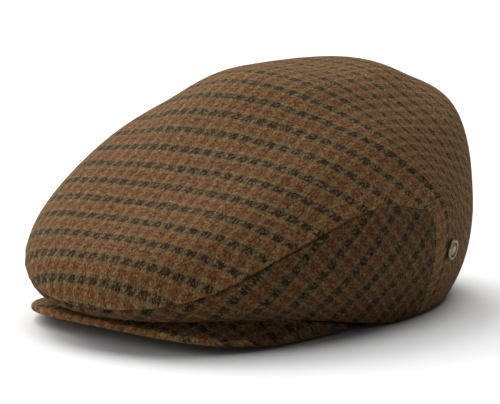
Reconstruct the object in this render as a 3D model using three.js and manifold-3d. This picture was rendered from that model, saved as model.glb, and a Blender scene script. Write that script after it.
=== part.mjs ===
// Ivy cap: a one-piece top, two side panels, a cloth-covered visor and a riveted side stud.
//
// Millimetres, +Z up. The cap stands on its hem on the plane z = 0 and faces -Y, so the
// wearer's left is +X. The origin lies on that plane, under the middle of the whole cap.
//
// The crown is a loft. Each ring goes once round the head; an angle of 0 is the front of the
// cap and 90 is over the wearer's left ear. "Ring" numbers count up from the hem, and a
// smooth curve through the table gives every ring in between.

import * as THREE from 'three';
import { mergeVertices } from 'three/addons/utils/BufferGeometryUtils.js';
import Module from 'manifold-3d';

// ---- Driving sizes ----------------------------------------------------------------------

const CLOTH = 2;              // wall of the crown: tweed with its backing
const SEAM_GAP = 0.4;         // clear space between two pieces that are sewn together
const OPENING_BACK = 13;      // the head opening's centre lies this far behind the origin

// front, back and side: how far each ring reaches from the head opening's centre. middle:
// how far in front of that centre the ring is widest. squareness: 2 is an ellipse, more is
// squarer. frontZ, sideZ, backZ: heights of the ring. climb: how it goes from the side's height
// to an end's; 2 stays low for longer, 1 rises evenly.
const RINGS = [
  { name: 'hem',
    front: 106, back: 100, side: 85, middle: 2, squareness: 2.1,
    frontZ: 22, sideZ: 0, backZ: 0, climb: 1.1 },
  { name: 'tuck',
    front: 124, back: 111, side: 90, middle: 4, squareness: 2.2,
    frontZ: 10, sideZ: 14, backZ: 11, climb: 1.5 },
  { name: 'bulge',
    front: 149, back: 116, side: 101, middle: 10, squareness: 2.1,
    frontZ: 19, sideZ: 39, backZ: 37, climb: 2 },
  { name: 'wall',
    front: 140, back: 119, side: 93, middle: 6, squareness: 2.2,
    frontZ: 46, sideZ: 62, backZ: 76, climb: 2 },
  { name: 'shoulder',
    front: 102, back: 117, side: 78, middle: -3, squareness: 2.2,
    frontZ: 64, sideZ: 92, backZ: 103, climb: 2 },
  { name: 'slope',
    front: 58, back: 96, side: 56, middle: -12, squareness: 2.2,
    frontZ: 95, sideZ: 104, backZ: 109, climb: 2 },
  { name: 'crest',
    front: 19, back: 70, side: 37, middle: -17, squareness: 2.1,
    frontZ: 126, sideZ: 121, backZ: 123, climb: 2 },
  { name: 'apex',
    front: -31, back: 31, side: 0, middle: -31, squareness: 2,
    frontZ: 120, sideZ: 120, backZ: 120, climb: 2 },
];
const APEX = RINGS.length - 1;

// Soft dents pressed into the crown. across is in degrees and along in rings; slant is how
// many rings the dent climbs for each degree; depth is in millimetres.
const DENTS = [
  { name: 'front hollow', angle: -46, ring: 4.8, across: 16, along: 0.5, slant: 0,     depth: 1.2 },
  { name: 'top hollow',   angle: -38, ring: 5.7, across: 22, along: 0.4, slant: 0,     depth: 1.2 },
  { name: 'rear crease',  angle:  98, ring: 3.1, across: 12, along: 0.4, slant: -0.06, depth: 1.5 },
];

// The seam between the top and a side panel: the ring that it follows at each angle.
const TOP_SEAM = [
  { angle:   0, ring: 1.85 },
  { angle:  25, ring: 1.92 },
  { angle:  40, ring: 2.12 },
  { angle:  60, ring: 2.62 },
  { angle:  84, ring: 3.02 },
  { angle: 101, ring: 2.72 },
];
const REAR_SEAM = TOP_SEAM[TOP_SEAM.length - 1].angle;

const PANEL_COLUMNS = 18;     // facets from the front of the cap round to one rear seam
const BACK_COLUMNS = 24;      // facets round the back, between the two rear seams
const TOP_ROWS = 14;          // facets from the side seam up to the apex
const PANEL_ROWS = 7;         // facets from the hem up to the side seam

const VISOR = {
  front: 129,                 // reach of the edge in front of the opening's centre
  start: 26,                  // where the edge's half oval begins, in front of the centre
  side: 78,                   // half the width of the edge
  squareness: 3.6,
  frontZ: 7, sideZ: 1,        // height of the edge's underside
  thickness: 4.2, endThickness: 2.6,
  underHem: 0.9,              // clear space between the hem and the visor sewn under it
  sag: 1.6,                   // how far the middle of the visor hangs below a straight line
  edgeEnd: 87, hemEnd: 73,    // angles where the edge and the seam under the hem stop
};
const VISOR_STATIONS = 36;
const VISOR_STEPS = 5;
const EDGE_STEPS = 5;         // facets round the rolled edge

const STUD = {
  angle: 110, ring: 1.78,     // where it sits on the crown
  radius: 5.5, rim: 0.9, height: 1.4, dome: 2,
  postRadius: 0.9, clenchRadius: 2.3, clench: 0.6,
};
const STUD_HOLE = STUD.postRadius + SEAM_GAP;

// ---- Crown surface ----------------------------------------------------------------------

const radians = THREE.MathUtils.degToRad;
const power = (value, exponent) => Math.sign(value) * Math.abs(value) ** exponent;

// One column of the ring table at any height: a cubic B-spline, straightened at both ends.
function ringValue(column, ring) {
  const i = Math.min(Math.floor(ring), APEX - 1);
  const u = ring - i;
  const at = (k) => RINGS[k][column];
  const before = i > 0 ? at(i - 1) : 2 * at(0) - at(1);
  const after = i + 2 <= APEX ? at(i + 2) : 2 * at(APEX) - at(APEX - 1);
  return ((1 - u) ** 3 * before + (3 * u ** 3 - 6 * u ** 2 + 4) * at(i)
    + (-3 * u ** 3 + 3 * u ** 2 + 3 * u + 1) * at(i + 1) + u ** 3 * after) / 6;
}

// A point of the loft before any dent: an oval with its own front, back and side reach.
function loftPoint(angle, ring) {
  const value = (column) => ringValue(column, ring);
  const cosine = Math.cos(radians(angle));
  const sine = Math.sin(radians(angle));
  const bend = 2 / value('squareness');
  const middle = value('middle');
  const reach = cosine >= 0 ? value('front') - middle : value('back') + middle;
  const endZ = cosine >= 0 ? value('frontZ') : value('backZ');
  const forward = middle + reach * power(cosine, bend);
  return new THREE.Vector3(
    value('side') * power(sine, bend),
    OPENING_BACK - forward,
    value('sideZ') + (endZ - value('sideZ')) * Math.abs(cosine) ** value('climb'),
  );
}

function outwardNormal(angle, ring) {
  if (ring > APEX - 0.01) return new THREE.Vector3(0, 0, 1);
  const step = 0.005;
  const low = Math.max(ring - step, 0);
  const high = Math.min(ring + step, APEX);
  const round = loftPoint(angle + 1, ring).sub(loftPoint(angle - 1, ring));
  const rise = loftPoint(angle, high).sub(loftPoint(angle, low));
  return round.cross(rise).normalize();
}

function dentDepth(angle, ring) {
  return DENTS.reduce((sum, dent) => {
    const across = (angle - dent.angle) / dent.across;
    const along = (ring - dent.ring - dent.slant * (angle - dent.angle)) / dent.along;
    return sum + dent.depth * Math.exp(-(across ** 2) - along ** 2);
  }, 0);
}

// A point of the crown, at a depth below its outer face.
function crownPoint(angle, ring, depth = 0) {
  const inward = -(depth + dentDepth(angle, ring));
  return loftPoint(angle, ring).addScaledVector(outwardNormal(angle, ring), inward);
}

// The inner face. The hem's edge is cut level where it stands on the ground.
function innerPoint(angle, ring) {
  const point = crownPoint(angle, ring, CLOTH);
  const onGround = ring === 0 && Math.cos(radians(angle)) <= 0;
  return onGround ? point.setZ(0) : point;
}

// The side seam's ring at an angle: a smooth curve through the seam table, alike on both sides.
function seamRing(angle) {
  const turn = Math.min(Math.abs(angle), REAR_SEAM);
  const last = TOP_SEAM.findIndex((point) => point.angle >= turn);
  const i = Math.max(last - 1, 0);
  const ring = (k) => TOP_SEAM[THREE.MathUtils.clamp(k, 0, TOP_SEAM.length - 1)].ring;
  const place = (k) => TOP_SEAM[THREE.MathUtils.clamp(k, 0, TOP_SEAM.length - 1)].angle;
  const slope = (k) => (ring(k + 1) - ring(k - 1)) / (place(k + 1) - place(k - 1));
  const span = place(i + 1) - place(i);
  const u = (turn - place(i)) / span;
  return (2 * u ** 3 - 3 * u ** 2 + 1) * ring(i) + (3 * u ** 2 - 2 * u ** 3) * ring(i + 1)
    + span * ((u ** 3 - 2 * u ** 2 + u) * slope(i) + (u ** 3 - u ** 2) * slope(i + 1));
}

// How many rings, or degrees, half of the seam's gap takes up at one place.
function halfGapInRings(angle, ring) {
  const rise = loftPoint(angle, ring + 0.1).distanceTo(loftPoint(angle, ring - 0.1)) / 0.2;
  return SEAM_GAP / 2 / rise;
}
const DEGREE_AT_REAR = loftPoint(REAR_SEAM + 0.5, 2).distanceTo(loftPoint(REAR_SEAM - 0.5, 2));
const HALF_GAP_ANGLE = SEAM_GAP / 2 / DEGREE_AT_REAR;

// ---- Solids -----------------------------------------------------------------------------

// Joins the listed triangles (corner points, three by three) into one closed geometry.
function closedGeometry(corners) {
  const positions = new Float32Array(corners.flatMap((point) => point.toArray()));
  const soup = new THREE.BufferGeometry();
  soup.setAttribute('position', new THREE.BufferAttribute(positions, 3));
  const merged = mergeVertices(soup, 1e-4);
  const index = Array.from(merged.index.array);
  const kept = [];
  for (let i = 0; i < index.length; i += 3) {
    const [a, b, c] = index.slice(i, i + 3);
    if (a !== b && b !== c && c !== a) kept.push(a, b, c);
  }
  merged.setIndex(kept);
  merged.computeVertexNormals();
  return merged;
}

// A wall of cloth. angles are the columns, ringAt(column, row) is each knot's ring, and
// isCloth(column, row) says which cells the piece fills. Free edges are closed square.
function clothWall(angles, rows, ringAt, isCloth, wraps) {
  const count = angles.length;
  const columns = wraps ? count : count - 1;
  const knots = angles.map((angle, c) => Array.from({ length: rows + 1 }, (_, r) => ({
    outer: crownPoint(angle, ringAt(c, r)),
    inner: innerPoint(angle, ringAt(c, r)),
  })));
  const filled = (c, r) => r >= 0 && r < rows && (wraps || (c >= 0 && c < columns))
    && isCloth((c + count) % count, r);
  const knot = (c, r) => knots[(c + count) % count][r];
  const corners = [];
  const quad = (a, b, c, d) => corners.push(a, b, c, a, c, d);
  for (let c = 0; c < columns; c += 1) {
    for (let r = 0; r < rows; r += 1) {
      if (!filled(c, r)) continue;
      const cell = [knot(c, r), knot(c + 1, r), knot(c + 1, r + 1), knot(c, r + 1)];
      const neighbours = [filled(c, r - 1), filled(c + 1, r), filled(c, r + 1), filled(c - 1, r)];
      quad(...cell.map((k) => k.outer));
      quad(...cell.map((k) => k.inner).reverse());
      neighbours.forEach((joined, side) => {
        const from = cell[side];
        const to = cell[(side + 1) % cell.length];
        if (!joined) quad(to.outer, from.outer, from.inner, to.inner);
      });
    }
  }
  return closedGeometry(corners);
}

// A solid through a list of closed sections with equal numbers of points, capped at both ends.
function loftedSolid(sections) {
  const corners = [];
  const size = sections[0].length;
  for (let s = 0; s < sections.length - 1; s += 1) {
    for (let i = 0; i < size; i += 1) {
      const j = (i + 1) % size;
      const [a, b, c, d] = [sections[s][i], sections[s][j], sections[s + 1][j], sections[s + 1][i]];
      corners.push(a, b, c, a, c, d);
    }
  }
  const cap = (section, flip) => {
    const middle = section.reduce((sum, p) => sum.add(p), new THREE.Vector3()).divideScalar(size);
    section.forEach((point, i) => {
      const next = section[(i + 1) % size];
      corners.push(middle, flip ? next : point, flip ? point : next);
    });
  };
  cap(sections[0], true);
  cap(sections[sections.length - 1], false);
  return closedGeometry(corners);
}

function toManifold(wasm, geometry) {
  return new wasm.Manifold(new wasm.Mesh({
    numProp: 3,
    vertProperties: geometry.attributes.position.array,
    triVerts: Uint32Array.from(geometry.index.array),
  }));
}

function fromManifold(solid) {
  const mesh = solid.getMesh();
  const geometry = new THREE.BufferGeometry();
  geometry.setAttribute('position', new THREE.BufferAttribute(mesh.vertProperties, mesh.numProp));
  geometry.setIndex(Array.from(mesh.triVerts));
  geometry.computeVertexNormals();
  return geometry;
}

// ---- Pieces -----------------------------------------------------------------------------

const spaced = (from, to, steps) => Array.from(
  { length: steps + 1 }, (_, i) => THREE.MathUtils.lerp(from, to, i / steps));

// The one-piece top: above the side seam in front, and down to the hem at the back.
function topPanelGeometry() {
  const edge = REAR_SEAM + HALF_GAP_ANGLE;
  const front = spaced(-edge, edge, 2 * PANEL_COLUMNS);
  const back = spaced(edge, 360 - edge, BACK_COLUMNS).slice(1, -1);
  const angles = [...front, ...back];
  const lowerRing = (angle) => {
    const turn = Math.min(angle, 360 - angle);
    const ring = seamRing(turn);
    return ring + halfGapInRings(turn, ring);
  };
  const ringAt = (c, r) => {
    const base = lowerRing(angles[c]);
    if (r < PANEL_ROWS) return base * r / PANEL_ROWS;
    return THREE.MathUtils.lerp(base, APEX, (r - PANEL_ROWS) / TOP_ROWS);
  };
  const isCloth = (c, r) => r >= PANEL_ROWS || c >= front.length - 1;
  return clothWall(angles, PANEL_ROWS + TOP_ROWS, ringAt, isCloth, true);
}

// A side panel: a crescent from the middle of the front round to its upright rear seam.
function sidePanelGeometry(side) {
  const start = HALF_GAP_ANGLE;
  const end = REAR_SEAM - HALF_GAP_ANGLE;
  const angles = spaced(start, end, PANEL_COLUMNS).map((angle) => side * angle);
  if (side < 0) angles.reverse();
  const ringAt = (c, r) => {
    const ring = seamRing(angles[c]);
    return (ring - halfGapInRings(angles[c], ring)) * r / PANEL_ROWS;
  };
  return clothWall(angles, PANEL_ROWS, ringAt, () => true, false);
}

// The visor: a curved board with a rolled edge, sewn in under the front of the hem.
function visorGeometry() {
  const sections = spaced(-1, 1, VISOR_STATIONS).map((share) => {
    const turn = radians(VISOR.edgeEnd * share);
    const bend = 2 / VISOR.squareness;
    const thickness = THREE.MathUtils.lerp(VISOR.thickness, VISOR.endThickness, share ** 4);
    const edge = new THREE.Vector3(
      VISOR.side * power(Math.sin(turn), bend),
      OPENING_BACK - VISOR.start - (VISOR.front - VISOR.start) * power(Math.cos(turn), bend),
      VISOR.sideZ + (VISOR.frontZ - VISOR.sideZ) * Math.cos(turn) ** 2 + thickness / 2,
    );
    const root = loftPoint(VISOR.hemEnd * share, 0);
    root.z -= VISOR.underHem + thickness / 2;
    const out = edge.clone().sub(root).setZ(0).normalize();
    const rollCentre = edge.clone().addScaledVector(out, -thickness / 2);
    const board = spaced(0, 1, VISOR_STEPS).map((along) => {
      const point = root.clone().lerp(rollCentre, along);
      point.z -= VISOR.sag * (1 - share ** 2) * 4 * along * (1 - along);
      return point;
    });
    const half = new THREE.Vector3(0, 0, thickness / 2);
    const roll = spaced(90, -90, EDGE_STEPS).slice(1, -1).map((degrees) => rollCentre.clone()
      .addScaledVector(out, thickness / 2 * Math.cos(radians(degrees)))
      .addScaledVector(half, Math.sin(radians(degrees))));
    const top = board.map((point) => point.clone().add(half));
    const bottom = board.map((point) => point.clone().sub(half)).reverse();
    return [...top, ...roll, ...bottom];
  });
  return loftedSolid(sections);
}

// The stud: a domed head with a raised rim, and its rivet post clenched inside the cloth.
function studGeometry() {
  const seat = SEAM_GAP;
  const inside = -(CLOTH + SEAM_GAP);
  const rimInner = STUD.radius - 2 * STUD.rim;
  const rim = spaced(0, 180, 6).map((degrees) => new THREE.Vector2(
    STUD.radius - STUD.rim + STUD.rim * Math.cos(radians(degrees)),
    seat + STUD.height - STUD.rim + STUD.rim * Math.sin(radians(degrees))));
  const dome = spaced(0, 90, 5).map((degrees) => new THREE.Vector2(
    rimInner * Math.cos(radians(degrees)),
    seat + STUD.height - STUD.rim + (STUD.dome - STUD.height + STUD.rim) * Math.sin(radians(degrees))));
  const profile = [
    new THREE.Vector2(0, inside - STUD.clench),
    new THREE.Vector2(STUD.clenchRadius, inside - STUD.clench),
    new THREE.Vector2(STUD.clenchRadius, inside),
    new THREE.Vector2(STUD.postRadius, inside),
    new THREE.Vector2(STUD.postRadius, seat),
    new THREE.Vector2(STUD.radius, seat),
    ...rim,
    ...dome.slice(1),
  ];
  profile[profile.length - 1].x = 0;
  const lathe = new THREE.LatheGeometry(profile, 32);
  lathe.deleteAttribute('normal');
  lathe.deleteAttribute('uv');
  return closedGeometry(trianglesOf(lathe));
}

function trianglesOf(geometry) {
  const position = geometry.attributes.position;
  return Array.from(geometry.index.array, (i) => new THREE.Vector3().fromBufferAttribute(position, i));
}

// ---- Assembly ---------------------------------------------------------------------------

const tweed = () => new THREE.MeshStandardMaterial({ color: 0x6b5138, roughness: 0.95, metalness: 0 });
const antiqueBrass = () => new THREE.MeshStandardMaterial({ color: 0x968c73, roughness: 0.4, metalness: 1 });

function piece(name, geometry, material) {
  const mesh = new THREE.Mesh(geometry, material);
  mesh.name = name;
  return mesh;
}

function placeOnCrown(object, angle, ring) {
  object.position.copy(crownPoint(angle, ring));
  object.quaternion.setFromUnitVectors(new THREE.Vector3(0, 1, 0), outwardNormal(angle, ring));
  object.updateMatrix();
}

const wasm = await Module();
wasm.setup();

const stud = piece('side_stud', studGeometry(), antiqueBrass());
placeOnCrown(stud, STUD.angle, STUD.ring);

const hole = new THREE.CylinderGeometry(STUD_HOLE, STUD_HOLE, 4 * CLOTH, 16);
hole.deleteAttribute('normal');
hole.deleteAttribute('uv');
hole.applyMatrix4(stud.matrix);
const holeSolid = toManifold(wasm, mergeVertices(hole));
const topPanel = fromManifold(toManifold(wasm, topPanelGeometry()).subtract(holeSolid));

const cap = new THREE.Group();
cap.add(
  piece('top_panel', topPanel, tweed()),
  piece('side_panel_left', sidePanelGeometry(1), tweed()),
  piece('side_panel_right', sidePanelGeometry(-1), tweed()),
  piece('visor', visorGeometry(), tweed()),
  stud,
);

export default cap;
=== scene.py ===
# %% [markdown]
# # An ivy cap in checked wool tweed
# The cap is a one-piece top, two side panels, a cloth-covered visor and a brass stud. Every
# panel is a thin shell of cloth worked out from two numbers: an angle round the head and a
# ring that counts up from the hem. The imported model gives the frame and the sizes; here each
# plain solid is dressed with a finer surface, rolled seams and a woven finish.

import bmesh
import bpy
import numpy as np
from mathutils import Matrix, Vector


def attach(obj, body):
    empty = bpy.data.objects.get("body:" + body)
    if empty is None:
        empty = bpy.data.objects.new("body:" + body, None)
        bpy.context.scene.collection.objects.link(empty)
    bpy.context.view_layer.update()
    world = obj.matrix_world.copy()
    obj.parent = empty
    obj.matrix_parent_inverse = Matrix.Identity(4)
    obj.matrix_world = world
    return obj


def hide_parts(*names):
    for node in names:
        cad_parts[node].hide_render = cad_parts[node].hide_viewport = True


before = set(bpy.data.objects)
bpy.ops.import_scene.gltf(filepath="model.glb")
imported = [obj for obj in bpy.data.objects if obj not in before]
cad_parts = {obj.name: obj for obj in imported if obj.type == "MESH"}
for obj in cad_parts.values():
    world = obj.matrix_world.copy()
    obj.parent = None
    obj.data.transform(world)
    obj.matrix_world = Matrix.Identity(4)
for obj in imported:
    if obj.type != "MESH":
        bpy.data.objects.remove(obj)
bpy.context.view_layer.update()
BODY = "root"
MM = 0.001

# %% [markdown]
# ## The crown's shape
# A cap is cut flat and steamed over a block, so it has no edges, only a few soft turns. A
# table of rings says how far each turn reaches to the front, back and sides, and a cubic
# B-spline blends the rings, because a spline keeps the cloth free of kinks. A sculpted mesh
# could look the same, but the table keeps every size readable. The numbers are the ones that
# the solids are built from.

# %% Sizes of the crown, in millimetres
OPENING_BACK = 13
RING_COLUMNS = ("front", "back", "side", "middle", "squareness", "front_z", "side_z", "back_z",
                "climb")
RINGS = np.array([
    (106, 100,  85,   2, 2.1,  22,   0,   0, 1.1),   # hem
    (124, 111,  90,   4, 2.2,  10,  14,  11, 1.5),   # tuck
    (149, 116, 101,  10, 2.1,  19,  39,  37, 2.0),   # bulge
    (140, 119,  93,   6, 2.2,  46,  62,  76, 2.0),   # wall
    (102, 117,  78,  -3, 2.2,  64,  92, 103, 2.0),   # shoulder
    ( 58,  96,  56, -12, 2.2,  95, 104, 109, 2.0),   # slope
    ( 19,  70,  37, -17, 2.1, 126, 121, 123, 2.0),   # crest
    (-31,  31,   0, -31, 2.0, 120, 120, 120, 2.0),   # apex
], float)
APEX = len(RINGS) - 1
CLOTH = 2.0

# Dents and soft ridges: angle, ring, degrees across, rings along, rings climbed a degree, depth.
DENTS = np.array([
    (-46, 4.8, 16, 0.50,  0.00,  1.2),          # front hollow
    (-38, 5.7, 22, 0.40,  0.00,  1.2),          # top hollow
    ( 98, 3.1, 12, 0.40, -0.06,  1.5),          # rear crease
    ( 97, 3.5, 12, 0.14, -0.06, -1.7),          # the ridge beside that crease
    ( 62, 1.0, 30, 0.20,  0.00,  0.8),          # fold over the left tuck
    (-70, 1.0, 30, 0.20,  0.00,  0.7),          # and over the right one
    (118, 2.5, 10, 0.30,  0.05,  0.6),          # pull behind the left rear seam
    (150, 2.2, 14, 0.35, -0.03,  0.7),          # slack at the back
    (196, 2.6, 16, 0.30,  0.04,  0.7),
    (246, 2.9, 12, 0.35,  0.05,  0.9),
])


# %% The loft
def signed_power(value, exponent):
    """The value's size to a power, with the value's own sign."""
    return np.sign(value) * np.abs(value) ** exponent


def signed_turn(angle):
    """The same angle counted from the front, from -180 to 180 degrees."""
    return (angle + 180) % 360 - 180


def ring_value(column, ring):
    """One column of the table at any ring: cubic B-spline weights of the four rows around
    it, with the rows past both ends mirrored so that the ends keep their own values."""
    table = RINGS[:, RING_COLUMNS.index(column)]
    table = np.concatenate([[2 * table[0] - table[1]], table, [2 * table[-1] - table[-2]]])
    i = np.minimum(np.floor(ring).astype(int), APEX - 1)
    u = ring - i
    return ((1 - u) ** 3 * table[i] + (3 * u ** 3 - 6 * u ** 2 + 4) * table[i + 1]
            + (-3 * u ** 3 + 3 * u ** 2 + 3 * u + 1) * table[i + 2] + u ** 3 * table[i + 3]) / 6


def loft(angle, ring):
    """An oval for each ring: forward is the middle plus the reach times a power of the
    cosine, sideways the half width times that power of the sine, and the height slides from
    the side's to the end's with a power of the cosine, the climb. Millimetres."""
    cosine, sine = np.cos(np.radians(angle)), np.sin(np.radians(angle))
    bend = 2 / ring_value("squareness", ring)
    middle = ring_value("middle", ring)
    ahead = cosine >= 0
    reach = np.where(ahead, ring_value("front", ring) - middle, ring_value("back", ring) + middle)
    side_z = ring_value("side_z", ring)
    end_z = np.where(ahead, ring_value("front_z", ring), ring_value("back_z", ring))
    sideways = ring_value("side", ring) * signed_power(sine, bend)
    forward = middle + reach * signed_power(cosine, bend)
    height = side_z + (end_z - side_z) * np.abs(cosine) ** ring_value("climb", ring)
    return np.stack([sideways, OPENING_BACK - forward, height], axis=-1)


def unit(vectors):
    """The vectors at length 1."""
    least = 1e-9
    return vectors / np.maximum(np.linalg.norm(vectors, axis=-1, keepdims=True), least)


def outward(angle, ring):
    """The surface's normal: the step round the ring crossed with the step up the rings, and
    straight up at the apex."""
    step, tip = 0.005, 0.01
    low, high = np.maximum(ring - step, 0), np.minimum(ring + step, APEX)
    around = loft(angle + 1, ring) - loft(angle - 1, ring)
    rise = loft(angle, high) - loft(angle, low)
    normal = unit(np.cross(around, rise))
    return np.where((ring > APEX - tip)[..., None], [0.0, 0.0, 1.0], normal)


def dent_depth(angle, ring):
    """The sum of the dents, each a bell curve across the angle and along the rings."""
    depth = np.zeros(np.broadcast(angle, ring).shape)
    for place, height, across, along, slant, deep in DENTS:
        turn = signed_turn(angle - place)
        past = ring - height - slant * turn
        depth += deep * np.exp(-(turn / across) ** 2 - (past / along) ** 2)
    return depth


def crown(angle, ring, lift=0.0):
    """A point of the crown, raised along its normal by lift and lowered by the dents."""
    rise = np.asarray(lift - dent_depth(angle, ring))
    return loft(angle, ring) + outward(angle, ring) * rise[..., None]


print("crest height, mm:", loft(np.array(180.0), np.array(5.8))[2].round(1))

# %% [markdown]
# ## Where the seams run
# Each side panel is a crescent that starts at the middle of the front and ends at an upright
# seam behind the ear. Its upper seam is a smooth curve through a few (angle, ring) points. On
# a real cap the two edges are sewn face to face and turned in, which leaves a fine groove
# with a soft roll on either side, so the panels' edges dip here instead of carrying a painted
# line.

# %% Seam curve and seam roll
SEAM_ANGLES = np.array([0, 25, 40, 60, 84, 101], float)
SEAM_RINGS = np.array([1.85, 1.92, 2.12, 2.62, 3.02, 2.72])
REAR_SEAM = SEAM_ANGLES[-1]
SEAM_GAP = 0.1
GROOVE_DEPTH, GROOVE_WIDTH = 1.25, 0.95
RIDGE_HEIGHT, RIDGE_PLACE, RIDGE_WIDTH = 0.38, 3.2, 1.9
PUCKER_HEIGHT, PUCKER_REACH = 0.16, 7.0
PUCKER_WAVES = [(0.61, 1.0, 0.0), (0.37, 0.6, 1.3), (1.07, 0.4, 0.4)]   # pace, height, start
PUCKERS_A_RING, PUCKERS_A_DEGREE = 22, 1.6
TOP_PUCKER_START, SIDE_PUCKER_START = 0.4, 2
PRESSED, PRESSED_FROM, PRESSED_OVER = 0.55, 62.0, 20.0


def seam_ring(angle):
    """The seam's ring: Hermite pieces through the table, with the slope at each point taken
    from its two neighbours, alike on both sides of the cap."""
    turn = np.minimum(np.abs(signed_turn(angle)), REAR_SEAM)
    last = len(SEAM_ANGLES) - 1
    knots = np.arange(last + 1)
    before, after = np.maximum(knots - 1, 0), np.minimum(knots + 1, last)
    slopes = (SEAM_RINGS[after] - SEAM_RINGS[before]) / (SEAM_ANGLES[after] - SEAM_ANGLES[before])
    i = np.clip(np.searchsorted(SEAM_ANGLES, turn) - 1, 0, last - 1)
    span = SEAM_ANGLES[i + 1] - SEAM_ANGLES[i]
    u = (turn - SEAM_ANGLES[i]) / span
    return ((2 * u ** 3 - 3 * u ** 2 + 1) * SEAM_RINGS[i]
            + (3 * u ** 2 - 2 * u ** 3) * SEAM_RINGS[i + 1]
            + span * ((u ** 3 - 2 * u ** 2 + u) * slopes[i] + (u ** 3 - u ** 2) * slopes[i + 1]))


def rise_per_ring(angle, ring):
    """Millimetres of cloth to one ring at that place."""
    step = 0.1
    high, low = np.minimum(ring + step, APEX), np.maximum(ring - step, 0)
    return np.linalg.norm(loft(angle, high) - loft(angle, low), axis=-1) / (high - low)


def width_per_degree(angle, ring):
    """Millimetres of cloth to one degree at that place."""
    return np.linalg.norm(loft(angle + 0.5, ring) - loft(angle - 0.5, ring), axis=-1)


def seam_roll(distance, along, half_turn, ridge=1.0):
    """The height of the cloth beside a seam: a bell-shaped dip at the stitches, a low ridge
    over the turned-in edge, and small puckers that die away from the seam. Towards the rear,
    where the cloth is pulled tight, the whole roll is pressed flatter."""
    dip = -GROOVE_DEPTH * np.exp(-(distance / GROOVE_WIDTH) ** 2)
    ledge = ridge * RIDGE_HEIGHT * np.exp(-((distance - RIDGE_PLACE) / RIDGE_WIDTH) ** 2)
    wave = sum(height * np.sin(along * pace + start) for pace, height, start in PUCKER_WAVES)
    pucker = PUCKER_HEIGHT * wave * np.exp(-(distance / PUCKER_REACH) ** 2)
    pressed = 1 - PRESSED * np.clip((half_turn - PRESSED_FROM) / PRESSED_OVER, 0, 1)
    return pressed * (dip + ledge + pucker)


HALF_GAP_ANGLE = SEAM_GAP / 2 / width_per_degree(np.array(REAR_SEAM), np.array(2.0))
print("half of the rear seam's gap, degrees:", HALF_GAP_ANGLE.round(3))

# %% [markdown]
# ## Turning grids into cloth
# A panel has an outer and an inner face, so each knot of its grid gives two points. A mask
# says which cells hold cloth. Faces go wherever a cell is filled, and a rim closes every side
# that has no filled neighbour, so one helper makes any panel as one closed shell. Solidify
# would do it too, but it would not let the thickness taper into a rolled edge.

# %% Mesh helpers
SAME_POINT, NO_LENGTH = 1e-6, 1e-7


def new_piece(name, points, faces, cloth_map=None):
    """A smooth-shaded mesh from points in millimetres, with the cloth map in metres as its
    UV map, doubled points joined and loose points gone."""
    mesh = bpy.data.meshes.new(name)
    mesh.from_pydata((np.asarray(points) * MM).tolist(), [], faces)
    if cloth_map is not None:
        corner = np.zeros(len(mesh.loops), int)
        mesh.loops.foreach_get("vertex_index", corner)
        layer = mesh.uv_layers.new(name="cloth")
        layer.data.foreach_set("uv", (np.asarray(cloth_map)[corner] * MM).ravel())
    work = bmesh.new()
    work.from_mesh(mesh)
    bmesh.ops.delete(work, geom=[v for v in work.verts if not v.link_faces], context="VERTS")
    bmesh.ops.remove_doubles(work, verts=work.verts, dist=SAME_POINT)
    bmesh.ops.dissolve_degenerate(work, edges=work.edges, dist=NO_LENGTH)
    bmesh.ops.delete(work, geom=[e for e in work.edges if not e.link_faces], context="EDGES")
    open_edges = sum(not edge.is_manifold for edge in work.edges)
    work.to_mesh(mesh)
    work.free()
    mesh.shade_smooth()
    piece = bpy.data.objects.new(name, mesh)
    bpy.context.scene.collection.objects.link(piece)
    print(f"{name}: {len(mesh.polygons)} faces, {open_edges} open edges")
    return piece


def cloth_shell(name, outer, inner, cloth_map, filled, wraps):
    """Columns by rows of knots made into a closed shell. filled is a mask of cells; where a
    filled cell has no filled neighbour, a strip joins the outer face to the inner one."""
    columns, rows = outer.shape[:2]
    index = np.arange(columns * rows).reshape(columns, rows)
    if wraps:
        index = np.concatenate([index, index[:1]])
    corners = [index[:-1, :-1], index[1:, :-1], index[1:, 1:], index[:-1, 1:]]
    padded = np.pad(filled, 1)
    if wraps:
        padded[0, 1:-1], padded[-1, 1:-1] = filled[-1], filled[0]
    neighbour = [padded[1:-1, :-2], padded[2:, 1:-1], padded[1:-1, 2:], padded[:-2, 1:-1]]
    below = columns * rows
    quads = [np.stack([c[filled] for c in corners], -1),
             np.stack([c[filled] + below for c in corners[::-1]], -1)]
    for side in range(4):
        edge = filled & ~neighbour[side]
        start, end = corners[side][edge], corners[(side + 1) % 4][edge]
        quads.append(np.stack([end, start, start + below, end + below], -1))
    points = np.concatenate([outer.reshape(-1, 3), inner.reshape(-1, 3)])
    flat = np.tile(cloth_map.reshape(-1, 2), (2, 1))
    return new_piece(name, points, np.concatenate(quads).tolist(), flat)


def eased(steps, ease):
    """Numbers from 0 to 1, closer together near both ends; ease is from 0 to under 1."""
    share = np.linspace(-1, 1, steps + 1)
    return ((1 - ease) * share + ease * np.sin(np.pi / 2 * share) + 1) / 2


def hem_roll(distance):
    """How far a face draws in towards the middle of the wall at the hem's fold, a quarter
    circle as wide as half the cloth."""
    half = CLOTH / 2
    left = 1 - np.clip(distance / half, 0, 1)
    return half * (1 - np.sqrt(1 - left ** 2))


print("helpers ready")
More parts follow.
